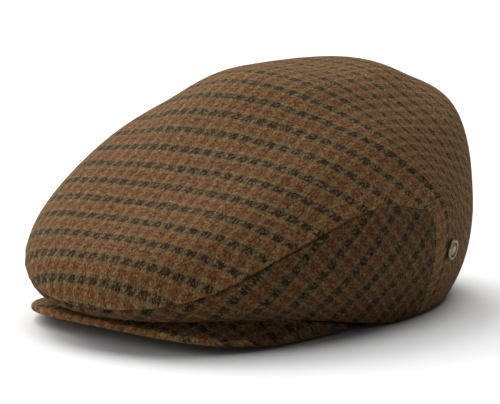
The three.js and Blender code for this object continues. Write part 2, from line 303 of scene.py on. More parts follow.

# %% [markdown]
# The weave must follow the cloth, and a one-piece top is a flat piece of cloth steamed over
# a block. Over the crown its rows lie in planes that all slope down towards the back, and
# past the crest the planes turn with the middle line. Below the shoulder the back hangs
# straight: every upright there is a straight line of the flat cloth, pointing sideways at the
# rear seams and backwards at the middle, so the rows drop behind the ears and cross the back
# level.

# %% Rows and columns of the top panel
ROW_SLOPE, BACK_ROW_SLOPE = 40.0, 150.0
TURN_FROM = 150.0
GRAIN_LEAN = 0.045
LINE_STEPS, LINE_START_RING = 150, 2.0
SHOULDER_RING, SHOULDER_BLEND = 2.72, 0.16
SEAM_MARGIN = 3


def middle_line():
    """The middle line from above the visor, over the top, down to the back hem: its points
    without the sideways part, and the cloth's length up to each."""
    front = loft(np.zeros(LINE_STEPS), np.linspace(LINE_START_RING, APEX, LINE_STEPS))
    back = loft(np.full(LINE_STEPS, 180.0), np.linspace(APEX, 0, LINE_STEPS))
    line = np.concatenate([front, back[1:]])[:, 1:]
    steps = np.linalg.norm(np.diff(line, axis=0), axis=1)
    return line, np.concatenate([[0], np.cumsum(steps)])


def over_the_crown(points):
    """Each knot of the middle line has a plane; a point belongs between the two knots whose
    planes lie on either side of it, and its row is the length up to there. Across, a row is
    the arc of a circle that starts level at the middle line and passes through the point."""
    line, run = middle_line()
    turned = np.clip((run - TURN_FROM) / (run[-1] - TURN_FROM), 0, 1)
    slope = np.radians(ROW_SLOPE + (BACK_ROW_SLOPE - ROW_SLOPE) * turned)
    listed = points.reshape(-1, 3)
    from_line = listed[:, None, 1:] - line
    ahead = from_line[..., 0] * np.sin(slope) + from_line[..., 1] * np.cos(slope)
    crossing = (ahead[:, :-1] >= 0) & (ahead[:, 1:] < 0)
    i = np.where(crossing.any(axis=1), crossing.argmax(axis=1), 0)
    each = np.arange(len(listed))
    share = ahead[each, i] / (ahead[each, i] - ahead[each, i + 1])
    row = run[i] + (run[i + 1] - run[i]) * share
    drop = from_line[each, i, 0] * np.cos(slope[i]) - from_line[each, i, 1] * np.sin(slope[i])
    aside, least = np.abs(listed[:, 0]), 0.01
    bend = np.arctan2(np.maximum(drop, 0), np.maximum(aside, least))
    column = np.hypot(aside, drop) / np.sinc(bend / np.pi)
    flat = np.stack([column * np.sign(listed[:, 0]), GRAIN_LEAN * listed[:, 0] - row], -1)
    return flat.reshape(points.shape[:-1] + (2,))


def rows_and_columns(turn, rings):
    """The crown's map above the shoulder, joined softly to the straight uprights below it."""
    above = (rings - SHOULDER_RING) / SHOULDER_BLEND
    held = SHOULDER_RING + SHOULDER_BLEND * np.logaddexp(0, above)
    ahead = np.abs(signed_turn(turn)) < REAR_SEAM - SEAM_MARGIN
    held = np.where(ahead, rings, np.minimum(held, APEX))
    flat = over_the_crown(loft(turn, held))
    hang = (held - rings) * rise_per_ring(turn, (held + rings) / 2)
    spread = np.clip((turn % 360 - REAR_SEAM) / (360 - 2 * REAR_SEAM), 0, 1) * np.pi
    return flat + hang[..., None] * np.stack([np.cos(spread), -np.sin(spread)], -1)


print("middle line of the top, mm:", middle_line()[1][-1].round(1))

# %% [markdown]
# ## The one-piece top
# Above the side seams this panel covers the whole crown, and at the back it runs down to the
# hem. One grid covers both: the lower rows hold cloth only behind the rear seams. Columns
# crowd together at those seams and rows at the upper seam, where the cloth rolls over.

# %% Grid of the top
FRONT_COLUMNS, BACK_COLUMNS = 172, 124
LOWER_ROWS, UPPER_ROWS = 34, 74
COLUMN_EASE, LOWER_EASE = 0.82, 0.7
EVEN_SHARE, CROWDING = 0.12, 1.6
WIDTHS_UP_TO = 4
TOP_EDGE = REAR_SEAM + HALF_GAP_ANGLE


def top_grid(front_columns, back_columns, lower_rows, upper_rows):
    """The angles, the ring of each knot, and the mask of cells that hold cloth."""
    front = TOP_EDGE * (2 * eased(front_columns, COLUMN_EASE) - 1)
    back = TOP_EDGE + (360 - 2 * TOP_EDGE) * eased(back_columns, COLUMN_EASE)
    angles = np.concatenate([front, back[1:-1]])
    base = seam_ring(angles)
    base = base + SEAM_GAP / 2 / rise_per_ring(angles, base)
    share = np.linspace(0, 1, upper_rows + 1)
    lower = base[:, None] * eased(lower_rows, LOWER_EASE)[:-1]
    climbing = EVEN_SHARE * share + (1 - EVEN_SHARE) * share ** CROWDING
    upper = base[:, None] + (APEX - base[:, None]) * climbing
    rings = np.concatenate([lower, upper], axis=1)
    cells = np.ones((len(angles), lower_rows + upper_rows), bool)
    cells[:front_columns, :lower_rows] = False
    return angles, base, rings, cells


STUD_ANGLE, STUD_RING, STUD_RADIUS = 110.0, 1.78, 5.5
STUD_PULL, STUD_PULL_REACH = 0.55, 8.0


def stud_pull(points):
    """The cloth draws in under the rivet: a bell-shaped dip round the stud."""
    centre = crown(np.array(STUD_ANGLE), np.array(STUD_RING))
    far = np.linalg.norm(points - centre, axis=-1)
    return STUD_PULL * np.exp(-(far / STUD_PULL_REACH) ** 2)


def make_top():
    """The outer face is the crown plus the seams' rolls; the inner one lies a cloth's
    thickness inside it, and both draw together at the hem's fold. Widths are taken no higher
    than the shoulder, because at the apex they shrink to nothing."""
    angles, base, rings, cells = top_grid(FRONT_COLUMNS, BACK_COLUMNS, LOWER_ROWS, UPPER_ROWS)
    turn = angles[:, None] + 0 * rings
    half_turn = np.abs(signed_turn(turn))
    up = np.maximum(rings - base[:, None], 0) * rise_per_ring(turn, rings)
    width = width_per_degree(turn, np.minimum(rings, WIDTHS_UP_TO))
    past = np.maximum(half_turn - TOP_EDGE, 0) * width
    along = np.where(past > 0, rings * PUCKERS_A_RING,
                     half_turn * PUCKERS_A_DEGREE + TOP_PUCKER_START * np.sign(turn))
    roll = seam_roll(np.hypot(up, past), along, half_turn)
    fold = hem_roll(rings * rise_per_ring(turn, rings))
    outer = crown(turn, rings, roll - fold)
    outer -= outward(turn, rings) * stud_pull(outer)[..., None]
    inner = crown(turn, rings, fold - CLOTH)
    for face in (outer, inner):
        face[..., 2] = np.maximum(face[..., 2], 0)
    flat = rows_and_columns(turn, rings)
    return cloth_shell("top_cloth", outer, inner, flat, cells, True)


top_cloth = make_top()

# %% [markdown]
# ## The side panels
# Each is a crescent cut with its rows running down towards the front, so its check meets the
# top's at an angle. The grid is the angle round the head by the share of the way from the
# hem to the seam, and its flat place is how far round and how far up the cloth has come.

# %% Left and right panels
PANEL_COLUMNS, PANEL_ROWS = 150, 84
PANEL_COLUMN_EASE, PANEL_ROW_EASE = 0.7, 0.8
PANEL_RIDGE, PANEL_MIDDLE = 0.5, 0.6
PANEL_SLOPE = -40.0


def make_side(name, side):
    """The same two faces as the top's, with the roll measured from the nearest seam."""
    start, end = HALF_GAP_ANGLE, REAR_SEAM - HALF_GAP_ANGLE
    angles = start + (end - start) * eased(PANEL_COLUMNS, PANEL_COLUMN_EASE)
    angles = angles if side > 0 else -angles[::-1]
    top = seam_ring(angles)
    top = top - SEAM_GAP / 2 / rise_per_ring(angles, top)
    rings = top[:, None] * eased(PANEL_ROWS, PANEL_ROW_EASE)
    turn = angles[:, None] + 0 * rings
    half_turn = np.abs(turn)
    down = (top[:, None] - rings) * rise_per_ring(turn, rings)
    from_rear = (end - half_turn) * width_per_degree(turn, rings)
    from_front = (half_turn - start) * width_per_degree(turn, rings)
    along = np.where(down < from_rear, half_turn * PUCKERS_A_DEGREE + SIDE_PUCKER_START,
                     rings * PUCKERS_A_RING)
    nearest = np.minimum(down, np.minimum(from_rear, from_front))
    roll = seam_roll(nearest, along, half_turn, PANEL_RIDGE)
    fold = hem_roll(rings * rise_per_ring(turn, rings))
    outer = crown(turn, rings, roll - fold)
    inner = crown(turn, rings, fold - CLOTH)
    for face in (outer, inner):
        face[..., 2] = np.maximum(face[..., 2], 0)
    middle = loft(angles, top * PANEL_MIDDLE)
    around = np.concatenate([[0], np.cumsum(np.linalg.norm(np.diff(middle, axis=0), axis=1))])
    knots = loft(turn, rings)
    climbed = np.cumsum(np.linalg.norm(np.diff(knots, axis=1), axis=-1), axis=1)
    climbed = np.concatenate([np.zeros((len(angles), 1)), climbed], axis=1)
    slope = np.radians(PANEL_SLOPE) * side
    round_it = around[:, None] + 0 * rings
    flat = np.stack([round_it * np.cos(slope) - climbed * np.sin(slope),
                     round_it * np.sin(slope) + climbed * np.cos(slope)], -1)
    cells = np.ones((PANEL_COLUMNS, PANEL_ROWS), bool)
    return cloth_shell(name, outer, inner, flat, cells, False)


left_cloth = make_side("left_cloth", 1)
right_cloth = make_side("right_cloth", -1)

# %% [markdown]
# ## The visor
# Under the cloth is a curved board about 4 mm thick at the front. The cloth wraps round its
# edge, so the edge is round and soft. Sections run from the seam under the hem out to the
# edge and back below; joined together they make the whole visor, and the last sections
# shrink to a point so that the tips are closed.

# %% Visor surface
VISOR_FRONT, VISOR_START, VISOR_SIDE, VISOR_SQUARENESS = 129, 26, 78, 3.6
VISOR_FRONT_Z, VISOR_SIDE_Z = 7, 1
VISOR_THICKNESS, VISOR_END_THICKNESS = 4.2, 2.6
VISOR_SAG, VISOR_UNDER_HEM = 1.6, 0.9
VISOR_EDGE_END, VISOR_HEM_END = 87, 73
VISOR_STATIONS, BOARD_STEPS, ROLL_STEPS, TIP_STEPS = 180, 22, 14, 5


def make_visor():
    """Each section is a board from the root to the centre of the edge's roll, sagging by a
    parabola, with half its thickness above and below and a half circle round the edge. The
    last section at each end shrinks to its own middle along a quarter circle. The cloth
    lies flat on the board's top and goes on round the edge in the section's own direction."""
    share = np.linspace(-1, 1, VISOR_STATIONS + 1)[:, None]
    turn = np.radians(VISOR_EDGE_END * share)
    bend = 2 / VISOR_SQUARENESS
    thickness = VISOR_THICKNESS + (VISOR_END_THICKNESS - VISOR_THICKNESS) * share ** 4
    reach = (VISOR_FRONT - VISOR_START) * signed_power(np.cos(turn), bend)
    edge = np.stack([
        VISOR_SIDE * signed_power(np.sin(turn), bend),
        OPENING_BACK - VISOR_START - reach,
        VISOR_SIDE_Z + (VISOR_FRONT_Z - VISOR_SIDE_Z) * np.cos(turn) ** 2 + thickness / 2], -1)
    root = loft(VISOR_HEM_END * share, 0 * share)
    root[..., 2] -= VISOR_UNDER_HEM + thickness / 2
    out = unit((edge - root) * [1, 1, 0])
    centre = edge - out * thickness[..., None] / 2
    along = np.linspace(0, 1, BOARD_STEPS + 1)
    board = root + (centre - root) * along[None, :, None]
    board[..., 2] -= VISOR_SAG * (1 - share ** 2) * 4 * along * (1 - along)
    half = np.stack([0 * thickness, 0 * thickness, thickness / 2], -1)
    around = np.linspace(np.pi / 2, -np.pi / 2, ROLL_STEPS + 1)[1:-1]
    roll = (centre + out * (thickness * np.cos(around) / 2)[..., None]
            + half * np.sin(around)[None, :, None])
    section = np.concatenate([board + half, roll, (board - half)[:, ::-1]], axis=1)
    steps = np.linalg.norm(np.diff(section, axis=1), axis=-1)
    run = np.concatenate([np.zeros((len(share), 1)), np.cumsum(steps, axis=1)], axis=1)
    past = np.maximum(run - run[:, [BOARD_STEPS]], 0)
    held = section[:, np.minimum(np.arange(section.shape[1]), BOARD_STEPS)]
    flat = np.stack([held[..., 0] + out[..., 0] * past,
                     -(held[..., 1] + out[..., 1] * past)], -1)
    quarter = np.linspace(0, np.pi / 2, TIP_STEPS + 1)[:-1, None, None]
    middle = section.mean(axis=1)
    first, last = [middle[end] + (section[end] - middle[end]) * np.sin(quarter)
                   + unit(middle[end] - middle[beside]) * VISOR_END_THICKNESS / 2 * np.cos(quarter)
                   for end, beside in ((0, 1), (-1, -2))]
    section = np.concatenate([first, section, last[::-1]])
    flat = np.pad(flat, ((TIP_STEPS, TIP_STEPS), (0, 0), (0, 0)), mode="edge")
    stations, size = section.shape[:2]
    index = np.arange(stations * size).reshape(stations, size)
    index = np.concatenate([index, index[:, :1]], axis=1)
    quads = np.stack([index[:-1, :-1], index[:-1, 1:], index[1:, 1:], index[1:, :-1]], -1)
    return new_piece("visor_cloth", section.reshape(-1, 3), quads.reshape(-1, 4).tolist(),
                     flat.reshape(-1, 2))


visor_cloth = make_visor()

# %% [markdown]
# ## The stud
# A small pressed brass button with a rolled rim and a plain stepped dome, riveted through the
# cloth behind the left seam. It is round, so one profile spun about the cloth's normal makes
# it, rivet and washer included.

# %% Stud surface
STUD_SEAT = SEAM_GAP
STUD_STEPS, RIM_STEPS, DOME_STEPS = 64, 12, 11
RIVET_RADIUS, STUD_CHAMFER = 0.9, 0.3
RIM_WIDTH, RIM_HEIGHT, RIM_LEVEL = 0.85, 0.55, 0.85
DOME_RADIUS, DOME_HEIGHT, DOME_LEVEL = 2.75, 0.72, 0.86
# Radius, and height over the cloth's inner face or over the stud's seat.
WASHER = [(0, -0.6), (2.1, -0.6), (2.3, -0.3), (2.3, 0)]
FIELD = [(3.6, 0.6), (3.35, 0.62), (3.2, 0.78), (3.0, 0.82)]


def stud_profile():
    """Radius and height pairs from the inner washer, out along the rivet and the back of the
    head, round the rim, over the sunken field and up to the middle of the dome."""
    inside = -(CLOTH + SEAM_GAP)
    rim = np.linspace(0, np.pi, RIM_STEPS + 1)
    dome = np.linspace(0, np.pi / 2, DOME_STEPS + 1)
    rows = [(radius, inside + height) for radius, height in WASHER]
    rows += [(RIVET_RADIUS, inside), (RIVET_RADIUS, STUD_SEAT),
             (STUD_RADIUS - STUD_CHAMFER, STUD_SEAT), (STUD_RADIUS, STUD_SEAT + STUD_CHAMFER)]
    rows += zip(STUD_RADIUS - RIM_WIDTH + RIM_WIDTH * np.cos(rim),
                STUD_SEAT + RIM_LEVEL + RIM_HEIGHT * np.sin(rim))
    rows += [(radius, STUD_SEAT + height) for radius, height in FIELD]
    rows += zip(DOME_RADIUS * np.cos(dome), STUD_SEAT + DOME_LEVEL + DOME_HEIGHT * np.sin(dome))
    return np.array(rows)


def make_stud():
    """Every profile point carried round a circle in the plane of the cloth."""
    profile = stud_profile()
    centre = crown(np.array(STUD_ANGLE), np.array(STUD_RING))
    normal = outward(np.array(STUD_ANGLE), np.array(STUD_RING))
    across = unit(np.cross([0.0, 0.0, 1.0], normal))
    upward = np.cross(normal, across)
    turn = np.linspace(0, 2 * np.pi, STUD_STEPS, endpoint=False)[:, None, None]
    radius, height = profile[None, :, :1], profile[None, :, 1:]
    points = centre + radius * (np.cos(turn) * across + np.sin(turn) * upward) + height * normal
    index = np.arange(STUD_STEPS * len(profile)).reshape(STUD_STEPS, -1)
    following = np.roll(index, -1, axis=0)
    quads = np.stack([index[:, :-1], following[:, :-1], following[:, 1:], index[:, 1:]], -1)
    flat = np.concatenate([radius + 0 * turn, turn + 0 * radius], -1)
    return new_piece("brass_stud", points.reshape(-1, 3), quads.reshape(-1, 4).tolist(),
                     flat.reshape(-1, 2))


brass_stud = make_stud()

# %% [markdown]
# ## Loose fibres
# Tweed is woven from carded wool, so short ends stand out of it, catch the light and blur its
# outline. Hair particles would give them too, but they are no use to anything that reads only
# meshes. So each fibre is a thin closed spike, and all of them are one mesh: their roots fall
# at random on the cloth, more of them where a face is larger, and each tip leans its own way.

# %% Wool fibres
FIBRES_PER_SQUARE_MM = 0.24
FIBRE_RADIUS, FIBRE_SINK = 0.045, 0.15
FIBRE_STAND, FIBRE_STAND_MORE, FIBRE_LEAN = 0.2, 0.7, 0.5
THREE_WAYS = [0, 120, 240]
HEAD_MIDDLE = np.array([0.0, 0.0, 40.0])
FIBRE_SEED = 11


def showing_faces(piece, both_sides):
    """The corners in millimetres and the doubled area vectors of a piece's triangles, without
    those of the side that is turned to the wearer's head."""
    mesh = piece.data
    mesh.calc_loop_triangles()
    knots, picked = np.zeros(3 * len(mesh.vertices)), np.zeros(3 * len(mesh.loop_triangles), int)
    mesh.vertices.foreach_get("co", knots)
    mesh.loop_triangles.foreach_get("vertices", picked)
    corners = knots.reshape(-1, 3)[picked.reshape(-1, 3)] / MM
    facing = np.cross(corners[:, 1] - corners[:, 0], corners[:, 2] - corners[:, 0])
    shows = both_sides | (((corners.mean(1) - HEAD_MIDDLE) * facing).sum(-1) > 0)
    return corners[shows], facing[shows]


def make_fibres(name, crown_pieces, visor, seed):
    """A root is a random weighted mean of a triangle's corners, and its tip is the root plus
    a stand along the normal and a lean across it. Three knots round the root make the base.
    Fibres that would reach under the hem's level are left out."""
    chance = np.random.default_rng(seed)
    found = [showing_faces(piece, False) for piece in crown_pieces] + [showing_faces(visor, True)]
    corners, facing = (np.concatenate(parts) for parts in zip(*found))
    doubled = np.linalg.norm(facing, axis=-1)
    count = int(doubled.sum() / 2 * FIBRES_PER_SQUARE_MM)
    chosen = chance.choice(len(corners), count, p=doubled / doubled.sum())
    cuts = np.sort(chance.random((count, 2)), axis=1)
    weights = np.stack([cuts[:, 0], cuts[:, 1] - cuts[:, 0], 1 - cuts[:, 1]], -1)
    root = (corners[chosen] * weights[..., None]).sum(1)
    normal = unit(facing[chosen])
    sideways = unit(np.cross(normal, chance.normal(size=(count, 3))))
    stand = FIBRE_STAND + FIBRE_STAND_MORE * chance.random((count, 1)) ** 2
    tip = root + normal * stand + sideways * FIBRE_LEAN * chance.normal(size=(count, 1))
    turn = np.radians(THREE_WAYS)[:, None, None]
    ring = np.cos(turn) * sideways + np.sin(turn) * np.cross(normal, sideways)
    base = root - normal * FIBRE_SINK + ring * FIBRE_RADIUS
    clear = tip[:, 2] > FIBRE_RADIUS
    points = np.concatenate([base, tip[None]])[:, clear].transpose(1, 0, 2).reshape(-1, 3)
    spike = np.array([[0, 1, 3], [1, 2, 3], [2, 0, 3], [0, 2, 1]])
    faces = (4 * np.arange(clear.sum())[:, None, None] + spike).reshape(-1, 3)
    return new_piece(name, points, faces.tolist())


wool_fibres = make_fibres("wool_fibres", (top_cloth, left_cloth, right_cloth), visor_cloth,
                          FIBRE_SEED)

# %% [markdown]
# ## Writing finishes as sums
# Node trees are hard to read as lists of links. Here one small class wraps a socket, so that
# adding, multiplying or comparing two wrapped values makes the Math node and its links, and
# one method makes any other node.

# %% Node helpers
class Value:
    """A number on its way through a node tree."""

    def __init__(self, finish, socket):
        self.finish, self.socket = finish, socket

    def math(self, operation, *others):
        inputs = dict(enumerate((self, *others)))
        return self.finish.node("ShaderNodeMath", {"operation": operation}, inputs)

    def __add__(self, other): return self.math("ADD", other)
    def __radd__(self, other): return self.math("ADD", other)
    def __sub__(self, other): return self.math("SUBTRACT", other)
    def __rsub__(self, other): return self.finish.number(other).math("SUBTRACT", self)
    def __mul__(self, other): return self.math("MULTIPLY", other)
    def __rmul__(self, other): return self.math("MULTIPLY", other)
    def __truediv__(self, other): return self.math("DIVIDE", other)
    def __pow__(self, other): return self.math("POWER", other)
    def __mod__(self, other): return self.math("FLOORED_MODULO", other)
    def __lt__(self, other): return self.math("LESS_THAN", other)
    def __gt__(self, other): return self.math("GREATER_THAN", other)
    def floor(self): return self.math("FLOOR")
    def sine(self): return self.math("SINE")
    def size(self): return self.math("ABSOLUTE")
    def at_least(self, other): return self.math("MAXIMUM", other)
    def at_most(self, other): return self.math("MINIMUM", other)

    def ramp(self, start, gain, most=1.0):
        """Gain times what lies past start, kept between nothing and most."""
        return ((self - start) * gain).at_least(0.0).at_most(most)


class Finish:
    """One material and its node tree, ending in a Principled shader."""

    def __init__(self, name):
        self.material = bpy.data.materials.new(name)
        self.material.use_nodes = True
        self.tree = self.material.node_tree
        self.shader = self.tree.nodes["Principled BSDF"]

    def node(self, kind, settings=None, inputs=None, output=0):
        """A node of that type: settings first, then each input's value or link."""
        made = self.tree.nodes.new(kind)
        for name, value in (settings or {}).items():
            setattr(made, name, value)
        self.feed(made, inputs or {})
        return Value(self, made.outputs[output])

    def feed(self, node, inputs):
        for name, value in inputs.items():
            socket = node.inputs[name]
            if isinstance(value, Value):
                self.tree.links.new(value.socket, socket)
            else:
                socket.default_value = value

    def number(self, value):
        return self.node("ShaderNodeMath", {"operation": "ADD"}, {0: value, 1: 0.0})

    def mixed(self, first, second, factor):
        """Two colours mixed; with factor 1 the second one shows. A Mix node's factor is its
        input 0, and its colours are inputs 6 and 7 and output 2."""
        mix = {"data_type": "RGBA", "clamp_factor": True}
        return self.node("ShaderNodeMix", mix, {0: factor, 6: first, 7: second}, output=2)

    def noise(self, vector, scale, detail=2.0, rough=0.5):
        inputs = {"Vector": vector, "Scale": scale, "Detail": detail, "Roughness": rough}
        return self.node("ShaderNodeTexNoise", {"noise_dimensions": "3D"}, inputs)

    def vector(self, x, y, z=0.0):
        return self.node("ShaderNodeCombineXYZ", None, {0: x, 1: y, 2: z})

    def stretched(self, x, y, scales, detail, rough=0.5):
        """Noise with a scale of its own each way; the third number picks its layer."""
        vector = self.vector(x * scales[0], y * scales[1], scales[2])
        return self.noise(vector, 1.0, detail, rough)

    def map_parts(self):
        """The two numbers of the piece's own map."""
        cut = self.tree.nodes.new("ShaderNodeSeparateXYZ")
        self.feed(cut, {0: self.node("ShaderNodeUVMap", {"uv_map": "cloth"})})
        return Value(self, cut.outputs[0]), Value(self, cut.outputs[1])

    def bump(self, strength, distance, height):
        inputs = {"Strength": strength, "Distance": distance, "Height": height}
        return self.node("ShaderNodeBump", None, inputs)


print("node helpers ready")

# %% [markdown]
# ## The tweed
# The cloth is a small check woven in a two-and-two twill: a warp of five brown and three tan
# threads, crossed by a weft of five dark, three tan, five rust and three tan. The finish counts
# threads both ways from the cloth map, asks which one lies on top, and takes most of that
# thread's colour, so the pointed teeth of the check come from the weave itself. Fine noise
# then frays the threads into wool, and sheen stands for the nap that catches light at the
# edges. The side panels are drawn darker than the top: that is painted shade, standing for
# the light that reaches them less. The visor is drawn lighter in the middle, which is painted
# light, and darker at both ends, which is painted shade from the crown above it.

# %% Tweed finish
WARP_PITCH, WEFT_PITCH = 0.89 * MM, 0.84 * MM
WARP_TAN = (0.205, 0.142, 0.057, 1)
WEFT_TAN = (0.205, 0.112, 0.040, 1)
WARP_BROWN = (0.112, 0.050, 0.019, 1)
WEFT_RUST = (0.225, 0.064, 0.014, 1)
WEFT_WINE = (0.110, 0.026, 0.022, 1)
DARK_GREEN = (0.010, 0.013, 0.007, 1)
DARK_PLUM = (0.020, 0.008, 0.010, 1)
PALE_FIBRE = (0.330, 0.235, 0.100, 1)
DEEP_FIBRE = (0.016, 0.009, 0.006, 1)
WARP_COUNT, BROWN_THREADS = 8, 5
WEFT_COUNT, DARK_THREADS, RUST_THREADS = 16, 5, 5
TWILL = 4.0
# Where the visor's painted shade at the ends starts, and how much further out it is full.
END_SHADE_FROM, END_SHADE_OVER = 59 * MM, 18 * MM

# How far, in threads, slow drift and fine fray push the warp and the weft aside.
WARP_DRIFT, WARP_FRAY, WEFT_DRIFT, WEFT_FRAY = 1.4, 3.6, 1.8, 3.4
FRAY_SHIFT = (0.31, 0.17)
# The warp's share of the colour where it lies below, and more where it lies on top. A dark
# weft thread covers more of it, and a tan warp thread comes through that.
WARP_BELOW, WARP_ON_TOP, DARK_COVERS, TAN_COMES_THROUGH = 0.28, 0.44, 0.32, 0.38
# What each noise adds to the brightness, what is taken off, and the least that is left.
PATCHES, MOTTLE, WARP_TONE, WEFT_TONE, TONE_OFF, LEAST_TONE = 0.3, 2.2, 0.9, 0.5, 1.08, 0.2
THREAD_RELIEF, NAP_RELIEF, STREAK_RELIEF = 0.55, 0.7, 0.5
NAP_ROUGHNESS, SMOOTHER_THREAD = 0.96, 0.12


def tweed(name, row_start=0.0, painted_shading=1.0, painted_end_shading=None):
    """Warp and weft numbers come from the cloth map over the thread pitch. A warp thread is
    on top where warp number plus weft number, counted in fours, is under two. The colour is
    multiplied by a factor of painted light and shade: painted light above one, painted shade
    below it. Where an end factor is given, the factor slides to it over a set width past a set
    distance out on both sides."""
    cloth = Finish(name)
    across, down = cloth.map_parts()
    place = cloth.vector(across, down)

    drift = cloth.noise(place, scale=60.0) - 0.5
    fray = cloth.noise(place, scale=1500.0, detail=3.0, rough=0.7) - 0.5
    shifted = cloth.vector(across + FRAY_SHIFT[0], down + FRAY_SHIFT[1])
    fray_down = cloth.noise(shifted, scale=1300.0, detail=3.0, rough=0.7) - 0.5
    warp = across / WARP_PITCH + drift * WARP_DRIFT + fray * WARP_FRAY
    weft = (down + row_start) / WEFT_PITCH + drift * WEFT_DRIFT + fray_down * WEFT_FRAY
    warp_number, weft_number = warp.floor(), weft.floor()

    on_top = (warp_number + weft_number) % TWILL < TWILL / 2
    warp_is_tan = warp_number % WARP_COUNT > BROWN_THREADS - 0.5
    weft_step = weft_number % WEFT_COUNT
    weft_is_dark = weft_step < DARK_THREADS - 0.5
    rust_start = (DARK_THREADS + WEFT_COUNT - RUST_THREADS) / 2 - 0.5
    weft_is_rust = (weft_step > rust_start) * (weft_step < rust_start + RUST_THREADS)
    plum = cloth.noise(place, scale=130.0, detail=1.0).ramp(start=0.3, gain=2.5)
    red = cloth.noise(place, scale=420.0).ramp(start=0.32, gain=4.0)
    dark = cloth.mixed(DARK_GREEN, DARK_PLUM, plum)
    rust = cloth.mixed(WEFT_WINE, WEFT_RUST, red)
    warp_colour = cloth.mixed(WARP_BROWN, WARP_TAN, warp_is_tan)
    weft_colour = cloth.mixed(cloth.mixed(WEFT_TAN, rust, weft_is_rust), dark, weft_is_dark)
    warp_share = (on_top * WARP_ON_TOP + WARP_BELOW
                  + weft_is_dark * (warp_is_tan * TAN_COMES_THROUGH - DARK_COVERS))
    colour = cloth.mixed(weft_colour, warp_colour, warp_share)

    streaks = cloth.stretched(across, down, scales=(1300.0, 420.0, 0.0), detail=5.0, rough=0.75)
    flecks = cloth.stretched(across, down, scales=(1100.0, 560.0, 7.0), detail=4.0, rough=0.7)
    pale = streaks.ramp(start=0.52, gain=9.0, most=0.7)
    deep = flecks.ramp(start=0.47, gain=-9.0, most=0.75)
    colour = cloth.mixed(cloth.mixed(colour, PALE_FIBRE, pale), DEEP_FIBRE, deep)
    patches = cloth.noise(place, scale=34.0, detail=3.0, rough=0.55)
    mottle = cloth.noise(place, scale=620.0, detail=3.0, rough=0.7)
    warp_tone = cloth.stretched(warp_number, down, scales=(7.3, 240.0, 0.0), detail=1.0)
    weft_tone = cloth.stretched(across, weft_number, scales=(200.0, 5.7, 3.0), detail=1.0)
    brightness = (patches * PATCHES + mottle * MOTTLE + warp_tone * WARP_TONE
                  + weft_tone * WEFT_TONE - TONE_OFF)
    # The visor's painted light in the middle slides to painted shade at both ends.
    if painted_end_shading is not None:
        past = across.size().ramp(start=END_SHADE_FROM, gain=1 / END_SHADE_OVER)
        painted_shading = past * (painted_end_shading - painted_shading) + painted_shading
    # The random brightness times the factor of painted light and shade.
    colour = cloth.node("ShaderNodeVectorMath", {"operation": "SCALE"},
                        {0: colour, "Scale": brightness.at_least(LEAST_TONE) * painted_shading})

    warp_round = 1 - ((warp % 1.0 - 0.5) * 2.0) ** 2.0
    weft_round = 1 - ((weft % 1.0 - 0.5) * 2.0) ** 2.0
    warp_float = ((warp_number + weft) * (2 * np.pi / TWILL)).sine()
    weft_float = 0 - ((weft_number + warp) * (2 * np.pi / TWILL)).sine()
    warp_height = warp_round * (warp_float * 0.5 + 0.5)
    weft_height = weft_round * (weft_float * 0.5 + 0.5)
    height = on_top * warp_height + (1 - on_top) * weft_height
    nap = cloth.noise(place, scale=3600.0, detail=4.0, rough=0.7)
    relief = height * THREAD_RELIEF + nap * NAP_RELIEF + streaks * STREAK_RELIEF
    cloth.feed(cloth.shader, {
        "Base Color": colour, "Roughness": NAP_ROUGHNESS - SMOOTHER_THREAD * height,
        "Normal": cloth.bump(strength=0.55, distance=0.35 * MM, height=relief),
        "Sheen Weight": 0.06, "Sheen Roughness": 0.35, "Sheen Tint": (0.80, 0.58, 0.36, 1),
        "Specular IOR Level": 0.08})
    return cloth.material


top_tweed = tweed("wool_tweed_top", row_start=1.0 * MM)
# The side panels' tone of 0.60 is painted shade: they are drawn darker for the light that reaches
# them less.
side_tweed_painted_shade = tweed("wool_tweed_side_painted_shade", row_start=9.5 * MM, painted_shading=0.60)
# The visor's tone is painted light in the middle and painted shade at both ends.
visor_tweed_painted_light_and_shade = tweed("wool_tweed_visor_painted_light_and_shade", painted_shading=1.42, painted_end_shading=0.75)
print("tweed repeat, mm:", WARP_COUNT * WARP_PITCH / MM, "by", WEFT_COUNT * WEFT_PITCH / MM)

# %% [markdown]
# ## Fibres out of the yarn
# A loose end has the colour of the yarn that it came from. The fibres are too thin to show a
# check, so one noise picks brown or tan wool for them and a finer one bleaches it here and
# there. They are as dull as the cloth.

# %% Fibre finish
FIBRE_ROUGHNESS, BLEACHED_ROUGHER = 0.8, 0.2


def loose_wool(name):
    """Brown wool mixed with tan by the first noise, and that with pale by the second."""
    wool = Finish(name)
    solid = wool.node("ShaderNodeTexCoord", output=3)
    kind, fade = wool.noise(solid, scale=420.0, detail=1.0), wool.noise(solid, scale=1900.0)
    colour = wool.mixed(WARP_BROWN, WEFT_TAN, kind.ramp(start=0.3, gain=3.0))
    colour = wool.mixed(colour, PALE_FIBRE, fade.ramp(start=0.4, gain=2.0))
    wool.feed(wool.shader, {
        "Base Color": colour, "Roughness": FIBRE_ROUGHNESS + fade * BLEACHED_ROUGHER,
        "Sheen Weight": 0.1, "Sheen Roughness": 0.4, "Specular IOR Level": 0.1})
    return wool.material


fibre_wool = loose_wool("loose_wool")

# %% [markdown]
# ## Antique brass
# The stud has dulled: the raised parts are rubbed pale and the sunken ring keeps its dark
# tarnish. The stud's own map gives the distance from its middle, which says where the ring
# is, and noise breaks up the polish.

# %% Brass finish
RUBBED_BRASS = (0.25, 0.21, 0.12, 1)
TARNISH = (0.085, 0.062, 0.034, 1)
SUNKEN_RADIUS, SUNKEN_WIDTH = 3.45, 0.75
SUNKEN_TARNISH, SPOT_TARNISH, SPOTS_FROM = 0.6, 1.4, 0.42
POLISH_ROUGHNESS, TARNISH_ROUGHER, FINE_RELIEF = 0.4, 0.35, 0.5


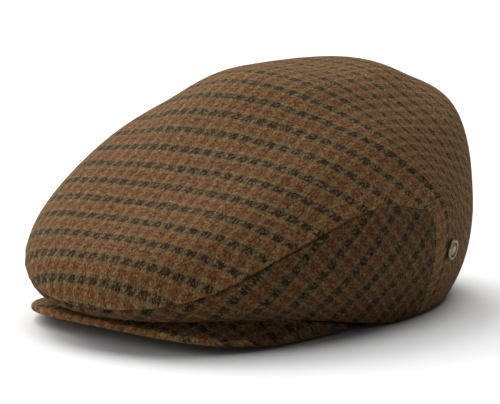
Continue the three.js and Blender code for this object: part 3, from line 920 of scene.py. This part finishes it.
def brass(name):
    """Tarnish is strongest in the ring between the rim and the dome."""
    metal = Finish(name)
    radius = metal.map_parts()[0] / MM
    solid = metal.node("ShaderNodeTexCoord", output=3)
    spots = metal.noise(solid, scale=900.0, detail=4.0, rough=0.6)
    fine = metal.noise(solid, scale=4200.0, detail=3.0, rough=0.6)
    ring = (1 - ((radius - SUNKEN_RADIUS) / SUNKEN_WIDTH) ** 2.0).at_least(0.0)
    tarnish = ring * SUNKEN_TARNISH + (spots - SPOTS_FROM) * SPOT_TARNISH
    tarnish = tarnish.at_least(0.0).at_most(1.0)
    relief = spots + fine * FINE_RELIEF
    metal.feed(metal.shader, {
        "Base Color": metal.mixed(RUBBED_BRASS, TARNISH, tarnish),
        "Roughness": POLISH_ROUGHNESS + tarnish * TARNISH_ROUGHER, "Metallic": 1.0,
        "Normal": metal.bump(strength=0.25, distance=0.05 * MM, height=relief)})
    return metal.material


stud_brass = brass("antique_brass")

# %% [markdown]
# ## Dressing the frame
# Every piece takes the place of its plain solid and rides on the one body, because a cap has
# no joints. The three panels are sheets, so the size of each one's flat cut is printed.


# %% Finishes, riding and sheets
def flat_size(piece):
    """Width, length and area of a panel's flat cut, from its cloth map. The outer and inner
    faces share the map, so the area of all faces is counted once for both."""
    mesh = piece.data
    mesh.calc_loop_triangles()
    flat = np.zeros(2 * len(mesh.loops))
    mesh.uv_layers["cloth"].data.foreach_get("uv", flat)
    flat = flat.reshape(-1, 2)
    loops = np.array([t.loops[:] for t in mesh.loop_triangles])
    a, b, c = flat[loops[:, 0]], flat[loops[:, 1]], flat[loops[:, 2]]
    double = np.abs((b - a)[:, 0] * (c - a)[:, 1] - (b - a)[:, 1] * (c - a)[:, 0])
    return [round(float(s), 3) for s in np.ptp(flat, axis=0)], float(double.sum() / 4)


dressing = [
    (top_cloth, "top_panel", top_tweed, "wool_tweed"),
    (left_cloth, "side_panel_left", side_tweed_painted_shade, "wool_tweed"),
    (right_cloth, "side_panel_right", side_tweed_painted_shade, "wool_tweed"),
    (visor_cloth, "visor", visor_tweed_painted_light_and_shade, "wool_tweed"),
    (brass_stud, "side_stud", stud_brass, "antique_brass"),
]
for piece, node, finish, slot in dressing:
    piece.data.materials.append(finish)
    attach(piece, BODY)
    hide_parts(node)

wool_fibres.data.materials.append(fibre_wool)
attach(wool_fibres, BODY)

for piece in (top_cloth, left_cloth, right_cloth):
    size, area = flat_size(piece)
    print(piece.name, "flat cut in metres:", size, "area", round(area, 4))

# %% [markdown]
# ## Studio
# A pale floor under three wide, soft lights: the main one low at the cap's right, one nearly
# as strong high behind it and a weak one from the front, with a faint surround. The camera is
# long, so the cap is seen without strong perspective, from its left front and a little above.

# %% Floor, light and camera
CAMERA_AZIMUTH, CAMERA_HEIGHT, CAMERA_DISTANCE = 41.2, 11.0, 1.75
FRAME_WIDTH = 0.259
AIM = Vector((0.0, 0.003, 0.055))
AIM_RIGHT, AIM_UP = -0.0034, -0.0018
LIGHT_DISTANCE = 2.0
FLOOR_HALF, FLOOR_DROP = 6.0, 0.2 * MM
PALE_PAPER, WHITE_PAPER = (0.84, 0.84, 0.84, 1), (0.87, 0.87, 0.87, 1)
SURROUND = 0.10


def facing(azimuth, height):
    """The direction from the cap to a camera or a light, for an angle round it and above it."""
    a, h = np.radians(azimuth), np.radians(height)
    return Vector((np.sin(a) * np.cos(h), -np.cos(a) * np.cos(h), np.sin(h)))


def placed(data, azimuth, height, distance, aim):
    """An object of that data, at a distance from the aim and turned towards it."""
    thing = bpy.data.objects.new(data.name, data)
    back = facing(azimuth, height)
    thing.location = aim + back * distance
    thing.rotation_euler = back.to_track_quat("Z", "Y").to_euler()
    bpy.context.scene.collection.objects.link(thing)
    return thing


# Name, degrees round the cap, degrees above the floor, strength, degrees of spread.
LIGHTS = [
    ("key", -105, 38, 2.65, 50),
    ("top", -150, 70, 2.3, 60),
    ("front", -40, 30, 0.85, 60),
]

camera_data = bpy.data.cameras.new("camera")
camera_data.lens = camera_data.sensor_width * CAMERA_DISTANCE / FRAME_WIDTH
back = facing(CAMERA_AZIMUTH, CAMERA_HEIGHT)
right = Vector((0, 0, 1)).cross(back).normalized()
aim = AIM + right * AIM_RIGHT + back.cross(right) * AIM_UP
bpy.context.scene.camera = placed(camera_data, CAMERA_AZIMUTH, CAMERA_HEIGHT, CAMERA_DISTANCE, aim)

for name, azimuth, height, strength, spread in LIGHTS:
    light = bpy.data.lights.new(name, "SUN")
    light.energy, light.angle = strength, np.radians(spread)
    placed(light, azimuth, height, LIGHT_DISTANCE, AIM)

floor_mesh = bpy.data.meshes.new("floor")
ways = ((-1, -1), (1, -1), (1, 1), (-1, 1))
floor_mesh.from_pydata([(x * FLOOR_HALF, y * FLOOR_HALF, -FLOOR_DROP) for x, y in ways],
                       [], [(0, 1, 2, 3)])
floor = bpy.data.objects.new("floor", floor_mesh)
bpy.context.scene.collection.objects.link(floor)
paper = Finish("paper")
grain = paper.noise(paper.node("ShaderNodeTexCoord", output=3), scale=40.0)
paper.feed(paper.shader, {"Base Color": paper.mixed(PALE_PAPER, WHITE_PAPER, grain),
                          "Roughness": 0.9, "Specular IOR Level": 0.1})
floor.data.materials.append(paper.material)

world = bpy.data.worlds.new("studio")
bpy.context.scene.world = world
world.use_nodes = True
world.node_tree.nodes["Background"].inputs["Color"].default_value = (1, 1, 1, 1)
world.node_tree.nodes["Background"].inputs["Strength"].default_value = SURROUND
bpy.context.scene.view_settings.view_transform = "Standard"
